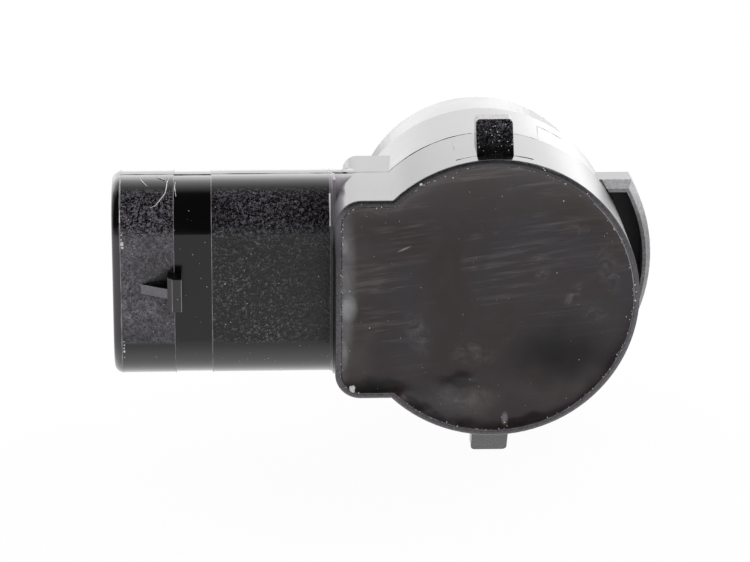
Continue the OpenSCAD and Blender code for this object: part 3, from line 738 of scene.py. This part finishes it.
def potting_surface(material):
    """Skin of the cast resin, which climbs the rim in a hollow curve."""
    edge = skin_edge()
    flat_y = REAR_Y + POTTING_LEVEL
    points = [(OUTLINE_CENTRE_X, flat_y - SKIN_LIFT, 0.0)]
    for ring in range(1, SKIN_RINGS + 1):
        share = 1 - (1 - ring / SKIN_RINGS) ** SKIN_CROWD
        for edge_x, edge_z in edge:
            x = OUTLINE_CENTRE_X + share * (edge_x - OUTLINE_CENTRE_X)
            z = share * edge_z
            points.append((x, flat_y - SKIN_LIFT - resin_rise(x, z), z))
    points += [(x, flat_y, z) for x, z in edge]

    turns = [(i, (i + 1) % SKIN_AROUND) for i in range(SKIN_AROUND)]
    faces = [(0, 1 + after, 1 + i) for i, after in turns]
    for ring in range(SKIN_RINGS):
        a = 1 + ring * SKIN_AROUND
        b = a + SKIN_AROUND
        faces += [(a + i, a + after, b + after, b + i) for i, after in turns]
    foot = 1 + SKIN_RINGS * SKIN_AROUND
    faces.append([foot + i for i, _ in turns])
    return mesh_piece("potting_surface", points, faces, material)


TUBE_SIDES = 6
# Direction that no tube runs along, for setting its sides
ASKEW = Vector((0.31, 0.47, 0.83))


def sweep(path, radii):
    """Points and faces of a tube along a path, with a radius at each point and closed ends."""
    points, faces = [], []
    count = len(path)
    for i, here in enumerate(path):
        ahead = Vector(path[min(i + 1, count - 1)]) - Vector(path[max(i - 1, 0)])
        ahead.normalize()
        side = ahead.cross(ASKEW)
        side.normalize()
        up = ahead.cross(side)
        for k in range(TUBE_SIDES):
            turn = 2 * math.pi * k / TUBE_SIDES
            points.append(Vector(here) + radii[i] * (math.cos(turn) * side + math.sin(turn) * up))
    for i in range(count - 1):
        for k in range(TUBE_SIDES):
            a, b = i * TUBE_SIDES + k, i * TUBE_SIDES + (k + 1) % TUBE_SIDES
            faces.append((a, b, b + TUBE_SIDES, a + TUBE_SIDES))
    faces.append(list(range(TUBE_SIDES))[::-1])
    faces.append([(count - 1) * TUBE_SIDES + k for k in range(TUBE_SIDES)])
    return points, faces


class Heap:
    """Several small shapes gathered into one piece."""

    def __init__(self):
        self.points, self.faces = [], []

    def add(self, points, faces):
        start = len(self.points)
        self.points += points
        self.faces += [[start + i for i in face] for face in faces]

    def tube(self, path, radii):
        self.add(*sweep(path, radii))

    def piece(self, name, material):
        return mesh_piece(name, self.points, self.faces, material)


def uneven(rng, count, low, high, step=6):
    """Smoothly varying values between two limits."""
    knots = [rng.uniform(low, high) for _ in range(count // step + 3)]
    values = []
    for i in range(count):
        k, share = divmod(i, step)
        share /= step
        values.append(knots[k] * (1 - share) + knots[k + 1] * share)
    return values


def straight(start, end, count):
    """Points along a line."""
    start, end = Vector(start), Vector(end)
    return [start.lerp(end, i / (count - 1)) for i in range(count)]


def even_path(path, count):
    """The same path with points at even distances."""
    lengths = [0.0]
    for a, b in zip(path, path[1:]):
        lengths.append(lengths[-1] + (b - a).length)
    points, k = [], 0
    for i in range(count):
        want = lengths[-1] * i / (count - 1)
        while k < len(path) - 2 and lengths[k + 1] < want:
            k += 1
        span = lengths[k + 1] - lengths[k] or 1.0
        points.append(path[k].lerp(path[k + 1], min((want - lengths[k]) / span, 1.0)))
    return points


def can_radius(y):
    """Radius of the can at a depth: plain behind the parting plane, drafted in front of it."""
    share = max(0.0, (y - PARTING_Y) / -PARTING_Y)
    return CAN_R + (SHOULDER_R - CAN_R) * share


def can_arc(y, x_from, x_to, count):
    """Points on the can's upper side at one depth."""
    r = can_radius(y)
    first, last = math.asin(x_from / r), math.asin(x_to / r)
    turns = [first + (last - first) * i / (count - 1) for i in range(count)]
    return [Vector((r * math.sin(t), y, r * math.cos(t))) for t in turns]


# Parting seam on the can: X and Y of both ends of its jog beside the lug, and where the seam ends
SEAM_JOG = ((4.05, PARTING_Y), (4.5, -3.6))
SEAM_END_X = 6.6
# Seam of the mould's insert round the lug, and X and Y of both ends of its short run along the can
INSERT_X = (-3.2, 3.1)
INSERT_Y = -15.75
INSERT_SIDE = ((-3.15, -13.0), (-3.15, -10.6))
# Depth of the seam below the connector's outside on the band, and ranges of the flash's half width
BAND_DIP = 0.05
SEAM_R = (0.006, 0.034)
BAND_SEAM_R = (0.03, 0.055)
FAINT_SEAM_R = (0.0, 0.014)


def along_can(start, end, count):
    """Run of a seam on the can's upper side between two places in X and Y."""
    flat = straight((*start, 0.0), (*end, 0.0), count)
    return [Vector((p.x, p.y, math.sqrt(can_radius(p.y) ** 2 - p.x**2))) for p in flat]


def seam_run(x_from, x_to, height, count):
    """Straight run of the seam in the parting plane."""
    return straight((x_from, PARTING_Y, height), (x_to, PARTING_Y, height), count)


def parting_seams(material):
    """Thin flash where the mould halves met, above and below, and round the mould's insert at each lug."""
    rng = random.Random(11)
    heap = Heap()
    junction_x = -math.sqrt(CAN_R**2 - BOX_HALF**2)
    top = PLUG_H / 2
    (jog_x, _), (after_jog_x, after_jog_y) = SEAM_JOG
    runs = [
        (seam_run(MOUTH_X + MOUTH_ROUND, BAND_X[0], top, 40), SEAM_R),
        (seam_run(*BAND_X, top - BAND_DIP, 30), BAND_SEAM_R),
        (seam_run(BAND_X[1], -BOX_REACH, top, 70), SEAM_R),
        (seam_run(-BOX_REACH, junction_x, BOX_HALF, 30), SEAM_R),
        (can_arc(PARTING_Y, junction_x, -LUG_HALF, 40), SEAM_R),
        (can_arc(PARTING_Y, LUG_HALF, jog_x, 24), FAINT_SEAM_R),
        (along_can(*SEAM_JOG, 21), FAINT_SEAM_R),
        (can_arc(after_jog_y, after_jog_x, SEAM_END_X, 24), FAINT_SEAM_R),
        (can_arc(INSERT_Y, INSERT_X[0], -LUG_HALF, 16), SEAM_R),
        (can_arc(INSERT_Y, LUG_HALF, INSERT_X[1], 16), SEAM_R),
        (along_can(*INSERT_SIDE, 17), FAINT_SEAM_R),
    ]
    for run, radii in runs:
        for flip in (1, -1):
            heap.tube([(p.x, p.y, flip * p.z) for p in run], uneven(rng, len(run), *radii))
    return heap.piece("parting_seams", material)


SHROUD_POINTS = 260


def shroud_loop(x):
    """Closed path round the connector's outside at a place along X."""
    flat_y, flat_z = PLUG_T / 2 - PLUG_CORNER, PLUG_H / 2 - PLUG_CORNER
    per_corner = SHROUD_POINTS // 4
    path = []
    for quarter, (side_y, side_z) in enumerate(((-1, 1), (-1, -1), (1, -1), (1, 1))):
        for i in range(per_corner):
            turn = math.pi / 2 * (i / (per_corner - 1))
            across, upward = math.sin(turn), math.cos(turn)
            if quarter % 2:
                across, upward = upward, across
            y = PARTING_Y + side_y * (flat_y + PLUG_CORNER * across)
            path.append(Vector((x, y, side_z * (flat_z + PLUG_CORNER * upward))))
    return even_path(path + path[:1], SHROUD_POINTS)


# Rubbed edges round the connector: place along X and range of the line's half width
EDGE_LINES = (
    (MOUTH_X + MOUTH_ROUND, (0.012, 0.075)),
    (BAND_X[0], (0.008, 0.034)),
    (BAND_X[1], (0.016, 0.040)),
    (FILLET_X, (0.006, 0.022)),
)
# Rubbed edges of the latch: start, end and range of the line's half width
LATCH_LINES = (
    ((RIB_X, CREST_Y, RIB_HALF), (TOOTH_X[0], RIB_Y, RIB_HALF), (0.022, 0.040)),
    ((TOOTH_X[1], TOOTH_Y[1], -TOOTH_HALF), (TOOTH_X[1], TOOTH_Y[1], TOOTH_HALF), (0.020, 0.038)),
    ((TOOTH_X[2], TOOTH_Y[1], -TOOTH_HALF), (TOOTH_X[2], TOOTH_Y[1], TOOTH_HALF), (0.024, 0.044)),
    ((TOOTH_X[0], TOOTH_Y[0], TOOTH_HALF), (TOOTH_X[1], TOOTH_Y[1], TOOTH_HALF), (0.008, 0.016)),
)
LATCH_POINTS = 24
# Rubbed inner edge of the rim: first and last angle in degrees, points, range of the line's half width
RIM_LINES = (
    (37.0, 1.0, 70, (0.030, 0.055)),
    (1.0, -140.0, 170, (0.004, 0.030)),
    (132.0, 232.0, 130, (0.0, 0.022)),
)
RIM_LINE_INSET = RIM_W - 0.01
# Pale lines on the connector: place along X, lowest and highest Z, range of the line's half width
PALE_LINES = (
    # The first line is a painted highlight on the fillet at the connector's foot
    (FILLET_X, 5.2, 7.7, (0.055, 0.095)),
    (MOUTH_X + MOUTH_ROUND, 3.4, 8.3, (0.012, 0.062)),
)


def rim_line(first, last, count):
    """Path along the rim's inner edge between two angles."""
    path = []
    for i in range(count):
        x, z = outline_point(math.radians(first + (last - first) * i / (count - 1)), RIM_LINE_INSET)
        path.append((x, REAR_Y, z))
    return path


def worn_edges(material):
    """Rubbed edges of the connector's steps, the latch and the rim."""
    rng = random.Random(5)
    heap = Heap()
    for x, radii in EDGE_LINES:
        path = shroud_loop(x)
        heap.tube(path, uneven(rng, len(path), *radii, step=4))
    for start, end, radii in LATCH_LINES:
        heap.tube(straight(start, end, LATCH_POINTS), uneven(rng, LATCH_POINTS, *radii, step=3))
    for first, last, count, radii in RIM_LINES:
        heap.tube(rim_line(first, last, count), uneven(rng, count, *radii, step=2))
    return heap.piece("worn_edges", material)


def pale_lines(material):
    """A painted highlight on the fillet in the upper corner at the connector's foot, and a pale line of dust
    along its mouth.
    """
    rng = random.Random(6)
    heap = Heap()
    for x, low, high, radii in PALE_LINES:
        path = [p for p in shroud_loop(x) if low < p.z < high and p.y < PARTING_Y]
        heap.tube(path, uneven(rng, len(path), *radii, step=3))
    return heap.piece("pale_lines", material)


def surface_tree(*objects):
    """Search tree over the shown surfaces, for setting dust and fibres on them."""
    points, faces = [], []
    for piece in objects:
        start = len(points)
        points += [v.co.copy() for v in piece.data.vertices]
        faces += [[start + i for i in p.vertices] for p in piece.data.polygons]
    return BVHTree.FromPolygons(points, faces)


# Distance from which rays are sent at the part
FAR = 60.0


def seen_from(tree, start, direction):
    """Place and outward direction where a ray meets the part, or None where it misses."""
    hit, normal, _, _ = tree.ray_cast(Vector(start) * MM, direction)
    if hit is None:
        return None
    return hit / MM, (normal if normal.dot(direction) < 0 else -normal)


def on_rear(tree, x, z):
    """The same for a ray from behind the part."""
    return seen_from(tree, (x, -FAR, z), Vector((0, 1, 0)))


def on_top(tree, x, y):
    """The same for a ray from above it."""
    return seen_from(tree, (x, y, FAR), Vector((0, 0, -1)))


# Grain of dust: radius and height of its two rings of corners, its flatness, and how far corners are pushed
RING_CORNERS = 5
RING_R = 0.894
RING_HEIGHT = 0.45
GRAIN_FLAT = 0.5
GRAIN_PUSH = (0.7, 1.25)


def grain_shape():
    """Corners, to a hundredth, and triangles of a grain: two poles, and two rings half a step apart."""
    corners = [(0.0, 0.0, 1.0)]
    for offset, height in ((0.0, RING_HEIGHT), (0.5, -RING_HEIGHT)):
        for k in range(RING_CORNERS):
            turn = math.tau * (k + offset) / RING_CORNERS
            corners.append((round(RING_R * math.cos(turn), 2), round(RING_R * math.sin(turn), 2), height))
    corners.append((0.0, 0.0, -1.0))
    upper, lower, last = 1, 1 + RING_CORNERS, 1 + 2 * RING_CORNERS
    turns = [(k, (k + 1) % RING_CORNERS) for k in range(RING_CORNERS)]
    faces = [(0, upper + k, upper + after) for k, after in turns]
    faces += [(upper + k, lower + k, upper + after) for k, after in turns]
    faces += [(lower + k, lower + after, upper + after) for k, after in turns]
    faces += [(last, lower + after, lower + k) for k, after in turns]
    return corners, faces


GRAIN_CORNERS, GRAIN_FACES = grain_shape()

# Fine dust on the resin and on the connector: ranges of X and Z, count, sizes to draw from
FINE_DUST = (
    ((-12.2, 11.2), (-11.2, 11.2), 70, (0.02, 0.02, 0.025, 0.035)),
    ((-30.4, -13.2), (-8.0, 8.2), 130, (0.02, 0.02, 0.025, 0.04)),
)
# Dust along the rim: first and last angle in radians, count
RIM_DUST = ((2.35, 3.93, 90), (-0.55, 0.55, 46), (0.6, 2.3, 34), (-2.2, -0.6, 40))
RIM_DUST_SPAN = (-0.05, 0.12)
RIM_DUST_SIZES = (0.02, 0.025, 0.03, 0.045)
# Dust on the upper lug, crowded towards its land
LUG_DUST = 110
LUG_DUST_Y = (-12.9, -15.6)
LUG_DUST_CROWD = 1.7
LUG_DUST_SIZES = (0.02, 0.02, 0.03, 0.045)
# How much longer than wide the grains on the rim and the lug are
GRAIN_LONG = (1.0, 1.8)
# Grains that stand out: X, Z and size
LARGE_DUST = (
    (-11.6, -7.7, 0.24), (-11.5, -7.57, 0.23), (-11.68, -7.57, 0.21), (-11.56, -7.82, 0.2),
    (-6.1, 9.95, 0.15), (-10.18, -2.38, 0.06), (-19.82, 2.97, 0.05), (-21.98, 0.38, 0.06),
    (-11.83, 0.84, 0.06), (-30.42, 3.94, 0.2), (-30.36, 3.6, 0.15), (-30.44, 4.3, 0.08), (-30.35, -4.9, 0.08),
    (-30.38, -5.5, 0.13),
    (0.8, -10.35, 0.05), (1.05, -10.8, 0.06), (1.25, -11.1, 0.05), (7.4, 9.05, 0.06), (7.55, 8.85, 0.05),
    (-3.5, 10.45, 0.06), (10.9, -1.6, 0.05), (11.05, -3.0, 0.06), (-30.4, -4.6, 0.06), (3.9, 11.05, 0.07),
    (3.8, 11.2, 0.06), (5.5, 8.4, 0.06), (-30.43, 4.7, 0.07), (-30.4, -5.2, 0.09), (-30.37, -6.1, 0.06),
    (11.5, 1.2, 0.07), (11.62, 0.6, 0.06), (11.58, -0.15, 0.09),
)


def add_grain(heap, rng, spot, size, long=1.0):
    """One irregular grain of dust that lies on a surface."""
    place, normal = spot
    turn = normal.to_track_quat("Z", "Y").to_matrix() @ Matrix.Rotation(rng.uniform(0, math.tau), 3, "Z")
    points = []
    for x, y, z in GRAIN_CORNERS:
        push = rng.uniform(*GRAIN_PUSH)
        points.append(place + turn @ (Vector((x * long, y, z * GRAIN_FLAT)) * size * push))
    heap.add(points, GRAIN_FACES)


def scatter_dust(tree, material):
    """Dust: fine grains all over the rear, more along the rim and on the lug, and the few that stand out."""
    rng = random.Random(23)
    heap = Heap()

    def rear(x, z, size, long=1.0):
        spot = on_rear(tree, x, z)
        if spot is not None:
            add_grain(heap, rng, spot, size, long)

    for x_range, z_range, count, sizes in FINE_DUST:
        for _ in range(count):
            rear(rng.uniform(*x_range), rng.uniform(*z_range), rng.choice(sizes))
    for first, last, count in RIM_DUST:
        for _ in range(count):
            x, z = outline_point(rng.uniform(first, last), RIM_W + rng.uniform(*RIM_DUST_SPAN))
            rear(x, z, rng.choice(RIM_DUST_SIZES), rng.uniform(*GRAIN_LONG))
    for x, z, size in LARGE_DUST:
        rear(x, z, size)
    for _ in range(LUG_DUST):
        y = LUG_DUST_Y[0] + (LUG_DUST_Y[1] - LUG_DUST_Y[0]) * rng.random() ** LUG_DUST_CROWD
        spot = on_top(tree, rng.uniform(-LUG_HALF, LUG_HALF), y)
        if spot is not None:
            add_grain(heap, rng, spot, rng.choice(LUG_DUST_SIZES), rng.uniform(*GRAIN_LONG))
    return heap.piece("dust_grains", material)


# Torn fibre: half width, points on each strand, range of its unevenness, share of the width left at the tips
FIBRE_R = 0.038
FIBRE_POINTS = 40
FIBRE_UNEVEN = (0.5, 1.5)
FIBRE_TIP = 0.3
# Route of each strand: X and Z on the rear side
STRANDS = (
    ((-26.38, 8.49), (-26.55, 8.42), (-26.67, 8.31), (-26.72, 8.05), (-26.83, 7.72), (-27.2, 7.35),
     (-27.64, 6.94), (-28.05, 6.8)),
    ((-28.77, 8.49), (-28.84, 8.46), (-28.8, 8.4), (-28.6, 8.3), (-28.27, 8.14)),
    ((-26.01, 8.3), (-26.05, 8.0), (-25.93, 7.51)),
    ((-27.6, 8.49), (-27.2, 8.46), (-26.8, 8.4), (-26.67, 8.31)),
)


def fibres(tree, material):
    """A torn white fibre that clings to the connector's upper edge."""
    rng = random.Random(41)
    heap = Heap()
    for route in STRANDS:
        spots = [on_rear(tree, x, z) for x, z in route]
        path = [spot[0] + spot[1] * FIBRE_R for spot in spots if spot is not None]
        radii = []
        for i, thick in enumerate(uneven(rng, FIBRE_POINTS, *FIBRE_UNEVEN, step=3)):
            swell = math.sin(math.pi * (i + 0.5) / FIBRE_POINTS)
            radii.append(FIBRE_R * thick * (FIBRE_TIP + (1 - FIBRE_TIP) * swell))
        heap.tube(even_path(path, FIBRE_POINTS), radii)
    return heap.piece("fibres", material)


# Stage, in metres


# World: its levels for matt surfaces and in the dark room
AMBIENT = 0.55
WORLD_SHADE = 0.006
# Where reflections see the dark room: parts of their direction between which it fades in
DARK_UP = (-0.27, -0.20)
DARK_AHEAD = (0.34, 0.06)
DARK_LEFT = (0.68, 0.38)
# Bright spot: direction, cosines between which it fades in, level
GLINT_SIDE = (0.42, -0.84, -0.34)
GLINT_CONE = (0.955, 0.985)
GLINT = 1.3
# Bright floor below: parts of the direction between which it grows, level
FLOOR_GLOW_DOWN = (-0.36, -0.88)
FLOOR_GLOW = 2.0


def white_world():
    """White for the camera and glass; reflections see a dark room in front and above, as a lit table has."""
    world = bpy.data.worlds.new("studio")
    bpy.context.scene.world = world
    world.use_nodes = True
    g = Graph(world.node_tree)
    path = g.node("ShaderNodeLightPath").outputs
    view = g.node("ShaderNodeTexCoord").outputs["Generated"]
    across, ahead, up = g.parts(view)
    sides = ((up, DARK_UP), (ahead, DARK_AHEAD), (across, DARK_LEFT))
    shade = g.times(*(g.spread(part, *limits, smooth=True) for part, limits in sides))
    towards = g.vector("DOT_PRODUCT", view, GLINT_SIDE, output="Value")
    glint = g.spread(towards, *GLINT_CONE, 0.0, GLINT, smooth=True)
    bright = g.math("ADD", g.spread(up, *FLOOR_GLOW_DOWN, 1.0, FLOOR_GLOW), glint)
    glossy = g.blend(path["Is Glossy Ray"], AMBIENT, g.blend(shade, bright, WORLD_SHADE))
    plain = g.highest(path["Is Camera Ray"], path["Is Transmission Ray"])
    ground = g.node("ShaderNodeBackground", {"Color": grey(1.0), "Strength": g.blend(plain, glossy, 1.0)})
    g.node("ShaderNodeOutputWorld", {"Surface": ground.outputs[0]})


FLOOR_HALF = 1.5
FLOOR_GREY = 0.82
# Share of plain white in what the camera sees of the floor
FLOOR_WHITE = 0.965


def floor_material():
    """Matt white that the camera sees near white, with a soft shadow left in it."""
    material, g = new_material("floor_white")
    path = g.node("ShaderNodeLightPath").outputs
    matt = g.node("ShaderNodeBsdfDiffuse", {"Color": grey(FLOOR_GREY)})
    glow = g.node("ShaderNodeEmission", {"Color": grey(1.0), "Strength": 1.0})
    seen = g.times(path["Is Camera Ray"], FLOOR_WHITE)
    mixed = g.node("ShaderNodeMixShader", {0: seen, 1: matt.outputs[0], 2: glow.outputs[0]})
    g.node("ShaderNodeOutputMaterial", {"Surface": mixed.outputs[0]})
    return material


def stage_piece(name, points, faces, material):
    """A mesh of points in metres that isn't part of the object."""
    mesh = bpy.data.meshes.new(name)
    mesh.from_pydata(points, [], faces)
    mesh.materials.append(material)
    piece = bpy.data.objects.new(name, mesh)
    bpy.context.scene.collection.objects.link(piece)
    return piece


def add_floor():
    """Floor under the part's lowest point, which reflections don't see."""
    level = cad_box[0][2]
    corners = [(sx * FLOOR_HALF, sy * FLOOR_HALF, level) for sx, sy in ((-1, -1), (1, -1), (1, 1), (-1, 1))]
    floor = stage_piece("floor", corners, [(0, 1, 2, 3)], floor_material())
    floor.visible_glossy = False


# Light tent behind the part: radius, ends in X, width of the fade at each end, brighter stretch on the right
TENT_R = 0.5
TENT_SIDES = (-0.8, 1.15)
TENT_FADE = (0.32, 0.2)
TENT_RIGHT_X = (0.05, 0.45)
TENT_RIGHT = 1.5
TENT_STRIPS = 24
# Glow of the light tent: elevation in degrees and strength
TENT_GLOW = (
    (-14.0, 1.0), (-7.0, 1.8), (0.0, 2.4), (5.0, 2.6), (11.0, 2.4), (15.0, 2.85), (20.0, 3.35), (32.0, 3.4),
    (45.0, 2.6), (60.0, 1.85), (74.0, 1.0), (88.0, 0.1),
)
TENT_LOW, TENT_HIGH = TENT_GLOW[0][0], TENT_GLOW[-1][0]


def tent_material():
    """Light that fades towards the floor, the sides and overhead."""
    material, g = new_material("light_tent")
    x, y, z = g.parts(g.place())
    brightest = max(level for _, level in TENT_GLOW)
    stops = [((angle - TENT_LOW) / (TENT_HIGH - TENT_LOW), level / brightest) for angle, level in TENT_GLOW]
    rise = g.spread(g.math("ARCTAN2", z, y), math.radians(TENT_LOW), math.radians(TENT_HIGH))
    left, right = TENT_SIDES
    ends = g.times(g.spread(x, left, left + TENT_FADE[0]), g.spread(x, right, right - TENT_FADE[1]))
    brighter = g.spread(x, *TENT_RIGHT_X, 1.0, TENT_RIGHT)
    glow = g.times(g.steps(rise, stops, "LINEAR"), brightest, ends, brighter)
    lit = g.node("ShaderNodeEmission", {"Color": grey(1.0), "Strength": glow})
    g.node("ShaderNodeOutputMaterial", {"Surface": lit.outputs[0]})
    return material


def add_tent():
    """Curved light behind and above the part, which the camera doesn't see."""
    low, high = math.radians(TENT_LOW), math.radians(TENT_HIGH)
    points = []
    for i in range(TENT_STRIPS + 1):
        turn = low + (high - low) * i / TENT_STRIPS
        points += [(side, TENT_R * math.cos(turn), TENT_R * math.sin(turn)) for side in TENT_SIDES]
    faces = [(2 * i, 2 * i + 1, 2 * i + 3, 2 * i + 2) for i in range(TENT_STRIPS)]
    tent = stage_piece("light_tent", points, faces, tent_material())
    tent.visible_camera = False


def add_camera():
    """Camera at the photograph's place, turned by its azimuth, elevation and roll."""
    facing = Matrix.Rotation(math.radians(CAMERA_AZIMUTH), 4, "Z")
    facing @= Matrix.Rotation(math.radians(90.0 - CAMERA_ELEVATION), 4, "X")
    facing @= Matrix.Rotation(math.radians(CAMERA_ROLL), 4, "Z")
    data = bpy.data.cameras.new("camera")
    data.sensor_fit = "HORIZONTAL"
    data.sensor_width = CAMERA_SENSOR
    data.lens = CAMERA_LENS
    data.clip_start = CAMERA_NEAREST
    camera = bpy.data.objects.new("camera", data)
    camera.matrix_world = Matrix.Translation(Vector(CAMERA_PLACE) * MM) @ facing
    bpy.context.scene.collection.objects.link(camera)
    bpy.context.scene.camera = camera


def build():
    """Camera and stage, then the materials, then the pieces that the scene adds."""
    bpy.context.scene.view_settings.view_transform = "Standard"
    add_camera()
    white_world()
    add_floor()
    add_tent()

    materials = mottled_materials(FINISHES)
    materials["housing_plastic"] = housing_plastic()
    materials["potting_resin"] = potting_resin()
    paint_cad(materials)

    added = mottled_materials(ADDED_FINISHES)
    skin = potting_surface(materials["potting_resin"])
    parting_seams(added["seam_plastic"])
    worn_edges(added["worn_plastic"])
    # A painted highlight at the connector's foot and dust along the mouth, in a pale lint colour
    pale_lines(added["lint_and_highlight"])
    tree = surface_tree(nodes["housing"], skin)
    scatter_dust(tree, added["dust"])
    fibres(tree, added["lint_and_highlight"])


build()
